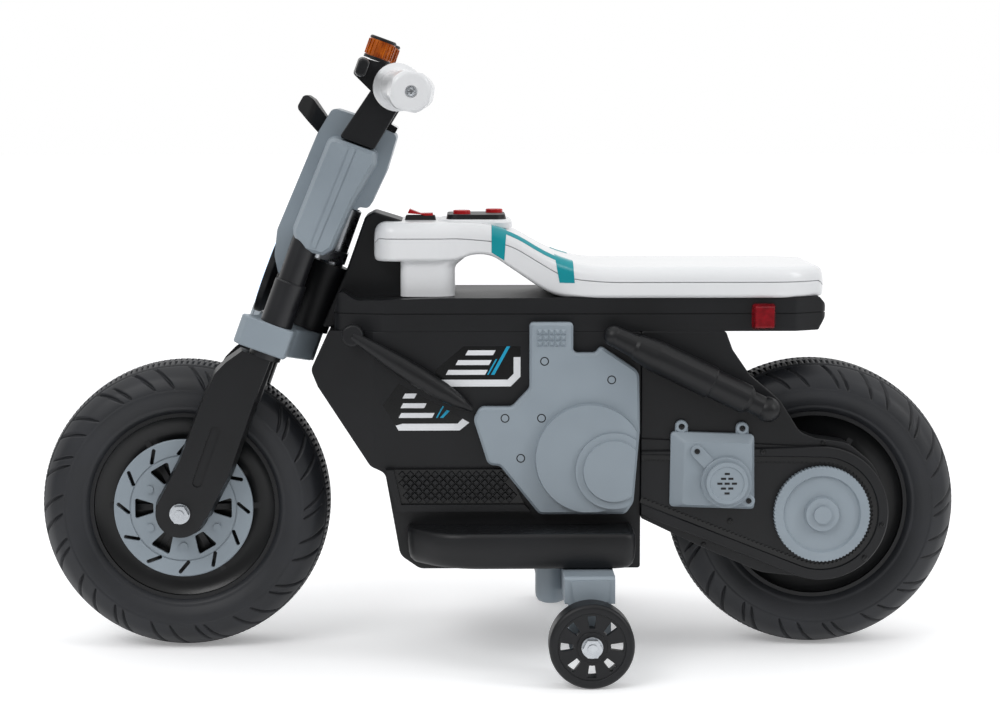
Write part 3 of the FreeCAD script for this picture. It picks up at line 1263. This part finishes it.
def upper_plate():
    low, high = col(UPPER_LOW_share), col(UPPER_TOP_share)
    plate = prism(clamp_plan(UPPER_PLAN_shares), UPPER_ROUND, "z", low, high)
    return raked(plate.cut(rod((0, 0, low - OVERRUN), (0, 0, high + OVERRUN), STEM_R)))


def cowl_parts(tubes):
    """Centre cowl as two shells, split fore and aft, hollow for the stem."""
    points = column(COWL_OUT_shares)
    outer = prism(points, rounds(COWL_ROUND_shares), "y", -COWL_HALF_W, COWL_HALF_W)
    inner = inset_prism(points, rounds(COWL_ROUND_shares), "y", -COWL_HALF_W + WALL,
            COWL_HALF_W - WALL, WALL)
    shell = outer.cut(inner)
    reach = WHEELBASE
    mouth = prism(column(COWL_MOUTH_shares), 0, "y", -COWL_HALF_W - OVERRUN, COWL_HALF_W + OVERRUN)
    shell = shell.cut(mouth)
    front_zone = Part.makeBox(reach, reach, reach, V(-col(COWL_SPLIT_share) - reach, -reach / 2, 0))
    front = shell.common(front_zone)
    rear = shell.cut(front_zone)
    ahead = col(LIGHT_FACE_share) * 2
    lamp_room = lamp_turn([(0, 0), (LIGHT_R + GAP, 0), (LIGHT_R + GAP, ahead), (0, ahead)], 0)
    return raked(front.cut(tubes).cut(lamp_room)), raked(rear.cut(tubes))


def inset_wire(points, radius, y, inset):
    """Side outline at a width, drawn in by the inset."""
    return Part.Face(round_wire(points, radius, "y", y)).makeOffset2D(-inset).OuterWire


def side_cover():
    """Left side cover, hollow towards the cowl, open where the fork tube comes up into it."""
    points = column(COVER_OUT_shares)
    outer = drafted(points, rounds(COVER_ROUND_shares), "y", -COWL_HALF_W, -COVER_OUT_Y + COVER_FACET,
            COVER_DRAFT)
    base = inset_wire(points, rounds(COVER_ROUND_shares), -COVER_OUT_Y + COVER_FACET, COVER_DRAFT)
    face = inset_wire(points, rounds(COVER_ROUND_shares), -COVER_OUT_Y, COVER_DRAFT + COVER_SLOPE)
    crown = Part.makeLoft([base, face], True)
    rib = prism(column(COVER_RIB_shares), EDGE, "y", -COVER_OUT_Y - EDGE, -COVER_OUT_Y + COVER_FACET)
    outer = join([outer, crown, rib])
    inner = inset_prism(points, rounds(COVER_ROUND_shares), "y", -COVER_OUT_Y + WALL,
            -COWL_HALF_W + OVERRUN, WALL + COVER_DRAFT)
    hole = rod((-FORK_AHEAD, -FORK_Y, SLEEVE_TOP), (-FORK_AHEAD, -FORK_Y, TUBE_TOP + OVERRUN),
            TUBE_R + GAP)
    return raked(outer.cut(inner).cut(hole))


def dash_display():
    return raked(prism(column(DISPLAY_OUT_shares), EDGE, "y", -DISPLAY_HALF_W, DISPLAY_HALF_W))


def screen_paddle():
    """Small visor on the cowl's front top, round in plan."""
    half = PADDLE_HALF_W
    slab = prism(column(PADDLE_OUT_shares), rounds(PADDLE_ROUND_shares), "y", -half, half)
    plan = [(-col(u), y * half) for u, y in PADDLE_PLAN_shares]
    body = prism(column(COWL_OUT_shares), rounds(COWL_ROUND_shares), "y", -COWL_HALF_W, COWL_HALF_W)
    return raked(slab.common(prism(plan, PADDLE_CORNER, "z", 0, WHEELBASE)).cut(body))


def lamp_turn(points, radius):
    """Turn (radius, ahead) points about the lamp's forward axis."""
    solid = lathe(points, radius)
    solid.rotate(V(0, 0, 0), V(0, 0, 1), RIGHT_ANGLE)
    solid.translate(V(0, 0, col(LIGHT_ALONG_share)))
    return solid


def headlight_housing():
    """Round lamp body with a rim and a socket for the lens, seated in the cowl front."""
    back = col(LIGHT_BACK_share)
    face = col(LIGHT_FACE_share)
    points = [(0, back), (LIGHT_R - WALL * 2, back), (LIGHT_R, back + WALL * 2), (LIGHT_R, face),
            (LENS_R, face),
              (LENS_R, face - WALL), (0, face - WALL)]
    return raked(lamp_turn(points, [0, WALL, WALL, EDGE, 0, 0, 0]))


def headlight_lens():
    face = col(LIGHT_FACE_share)
    across_share, rise_share = LENS_SHOULDER_shares
    points = [(0, face - WALL), (LENS_R, face - WALL), (LENS_R, face),
              (LENS_R * across_share, face + LENS_BULGE * rise_share), (0, face + LENS_BULGE)]
    return raked(lamp_turn(points, [0, 0, EDGE, LENS_ROUND, 0]))


def riser():
    arm = prism(column(RISER_OUT_shares), rounds(RISER_ROUND_shares), "y", -RISER_OUT_Y, -RISER_IN_Y)
    arm = soften(arm, edges_at(arm, "y", -RISER_OUT_Y) + edges_at(arm, "y", -RISER_IN_Y), EDGE)
    x, z = column([BAR_MID_shares])[0]
    bore = rod((x, -RISER_OUT_Y - OVERRUN, z), (x, -RISER_IN_Y + OVERRUN, z), BAR_R)
    return raked(arm.cut(bore))


def bar_path():
    """Left half of the bar: end of the straight part and the swept end."""
    mid, end = column([BAR_MID_shares, BAR_END_shares])
    return (mid[0], -RISER_OUT_Y - OVERRUN, mid[1]), (end[0], -BAR_END_Y, end[1])


def handlebar():
    bend, end = bar_path()
    pieces = [rod((bend[0], bend[1], bend[2]), (bend[0], -bend[1], bend[2]), BAR_R)]
    for s in (1, -1):
        pieces.append(rod((bend[0], s * bend[1], bend[2]), (end[0], s * end[1], end[2]), BAR_R))
        pieces.append(Part.makeSphere(BAR_R, V(bend[0], s * bend[1], bend[2])))
    return raked(join(pieces))


def along_bar(y):
    """Point on the swept part of the left bar at a distance y from the middle."""
    bend, end = bar_path()
    share = (-y - bend[1]) / (end[1] - bend[1])
    return (bend[0] + share * (end[0] - bend[0]), -y, bend[2] + share * (end[2] - bend[2]))


def grip():
    """Left grip: flange, waisted sleeve and a rounded end with a screw recess."""
    a = along_bar(GRIP_IN_Y)
    b = along_bar(GRIP_END_Y)
    long = (V(*b) - V(*a)).Length
    waist, swell = (share * long for share in GRIP_SWELL_shares)
    points = [(0, 0), (GRIP_FLANGE_R, 0), (GRIP_FLANGE_R, GRIP_FLANGE_T), (GRIP_R, GRIP_FLANGE_T * 2),
            (GRIP_R, waist),
              (GRIP_END_R, swell), (GRIP_END_R, long), (GRIP_SCREW_R, long), (GRIP_SCREW_R,
                      long - WALL), (0, long - WALL)]
    solid = lathe(points, [share * GRIP_R for share in GRIP_ROUND_shares])
    flat = GRIP_END_R * GRIP_FLAT_share
    square = [(-flat, -flat), (flat, -flat), (flat, flat), (-flat, flat)]
    near = rod((0, -OVERRUN, 0), (0, GRIP_FLANGE_T * 2, 0), GRIP_FLANGE_R * 2)
    solid = solid.common(join([near, prism(square, flat / 2, "y", GRIP_FLANGE_T, long + OVERRUN)]))
    solid.Placement = FreeCAD.Placement(V(*a), FreeCAD.Rotation(V(0, 1, 0), V(*b) - V(*a)))
    bend, end = bar_path()
    return raked(solid.cut(rod(bend, end, BAR_R)))


def lever_set():
    """Left perch clamped on the bar with its lever lying ahead of the grip."""
    perch = prism(column(PERCH_OUT_shares), rounds(PERCH_ROUND_shares), "y", -PERCH_OUT_Y, -PERCH_IN_Y)
    bend, end = bar_path()
    x, z = -col(LEVER_AHEAD_share), col(LEVER_ALONG_share)
    a = (x, -PERCH_OUT_Y + WALL, z)
    b = (x + LEVER_SWEEP, -LEVER_END_Y, z)
    blade = []
    for p, share in ((a, 1.0), (b, LEVER_TIP_share)):
        half_w = LEVER_HALF_W * share
        half_h = LEVER_HALF_H * share
        corners = [(p[0] - half_w, p[2] - half_h), (p[0] + half_w, p[2] - half_h), (p[0] + half_w,
                p[2] + half_h),
                   (p[0] - half_w, p[2] + half_h)]
        blade.append(round_wire(corners, half_w * LEVER_ROUND_share, "y", p[1]))
    lever = Part.makeLoft(blade, True)
    lever = soften(lever, edges_at(lever, "y", b[1]), EDGE * 2)
    return raked(join([perch, lever]).cut(rod(bend, end, BAR_R)))


def reservoir():
    """Ribbed amber pot above the perch, without its foot and lid."""
    x = -col(POT_AHEAD_share)
    y = -POT_Y
    low = col(POT_LOW_share) + POT_CAP_H
    pot = rod((x, y, low), (x, y, low + POT_LENS_H), POT_R)
    rib = Part.makeBox(EDGE, EDGE * 2, POT_LENS_H - OVERRUN, V(-EDGE / 2, POT_R - EDGE,
            low + OVERRUN / 2))
    ribs = []
    for i in range(POT_RIBS):
        copy = rib.copy()
        copy.rotate(V(0, 0, 0), V(0, 0, 1), FULL_TURN * i / POT_RIBS)
        copy.translate(V(x, y, 0))
        ribs.append(copy)
    return raked(join([pot] + ribs))


def reservoir_cap():
    """Black foot ring and lid of the left pot."""
    x = -col(POT_AHEAD_share)
    y = -POT_Y
    low = col(POT_LOW_share)
    lid_low = low + POT_CAP_H + POT_LENS_H
    foot = rod((x, y, low), (x, y, low + POT_CAP_H), POT_R + EDGE / 2)
    lid = rod((x, y, lid_low), (x, y, lid_low + POT_CAP_H), POT_R + EDGE / 2)
    lid = bevel(lid, edges_at(lid, "z", lid_low + POT_CAP_H), EDGE)
    return raked(Part.makeCompound([foot, lid]))


def build_fixed():
    left = body_left()
    save_pair("body_shell", left)
    save("neck", neck())
    save("head_bushes", head_bushes())
    save("seat_rail", seat_rail())
    lower, upper, trim = seat_pieces()
    save("seat_lower", lower)
    save("seat_upper", upper)
    save("seat_trim", trim)
    save("control_panel", control_panel())
    save("button_left", button(BUTTON_AT_shares[0]))
    save("button_right", button(BUTTON_AT_shares[1]))
    save("switch_bezel", switch_bezel())
    save("power_rocker", power_rocker())
    save("battery", battery())
    save("control_board", control_board())
    save_pair("engine_cover", engine_cover())
    save_both("frame_struts", frame_strut())
    save_both("step_treads", step_tread())
    save("footrest_left", footrest())
    save("footrest_right", footrest_right())
    save("accelerator_pedal", accelerator_pedal())
    save_both("trainer_brackets", trainer_bracket())
    save_both("trainer_axles", trainer_axle())
    case = rear_case()
    save("belt_case", belt_lines(case))
    save("gear_case", flipped(case))
    save("pulley_cap", pulley_cap())
    save("speaker_box", speaker_box())
    save("speaker_cap", speaker_cap())
    save_both("shocks", shock())
    save_both("tail_lamps", tail_lamp())
    save("rear_axle", rear_axle())
    save("drive_unit", drive_unit())


def build_wheels():
    rubber = tyre()
    rim = hub()
    disc = brake_disc()
    x = WHEELBASE / 2
    save("front_tyre", moved(rubber, -x, 0, TYRE_R))
    save("front_hub", moved(rim, -x, 0, TYRE_R))
    save_both("brake_discs", moved(disc, -x, 0, TYRE_R))
    save("rear_tyre", moved(rubber, x, 0, TYRE_R))
    save("rear_hub", join([moved(rim, x, 0, TYRE_R), drive_dog()]))
    save_pair("trainer_wheel", trainer_wheel())


def build_steering():
    tube = fork_tube()
    save("stem", join([stem(), upper_plate()]))
    save_both("fork_tubes", tube)
    save_pair("fork_leg", fork_leg())
    save("front_axle", moved(cross_axle(LEG_OUT_Y), -WHEELBASE / 2, 0, TYRE_R))
    save("lower_yoke", lower_yoke())
    bars = []
    for s in (-1, 1):
        bars.append(rod((-FORK_AHEAD, s * FORK_Y, LEG_TOP), (-FORK_AHEAD, s * FORK_Y,
                TUBE_TOP + OVERRUN), TUBE_R + GAP))
    front, rear = cowl_parts(Part.makeCompound(bars))
    save("cowl_front", front)
    save("cowl_rear", rear)
    save_both("side_covers", side_cover())
    save("dash_display", dash_display())
    save("screen_paddle", screen_paddle())
    save("headlight_housing", headlight_housing())
    save("headlight_lens", headlight_lens())
    save_both("risers", riser())
    save("handlebar", handlebar())
    save_pair("grip", grip())
    save_both("levers", lever_set())
    save_both("reservoirs", reservoir())
    save_both("reservoir_caps", reservoir_cap())


os.makedirs("parts", exist_ok=True)
build_fixed()
build_wheels()
build_steering()
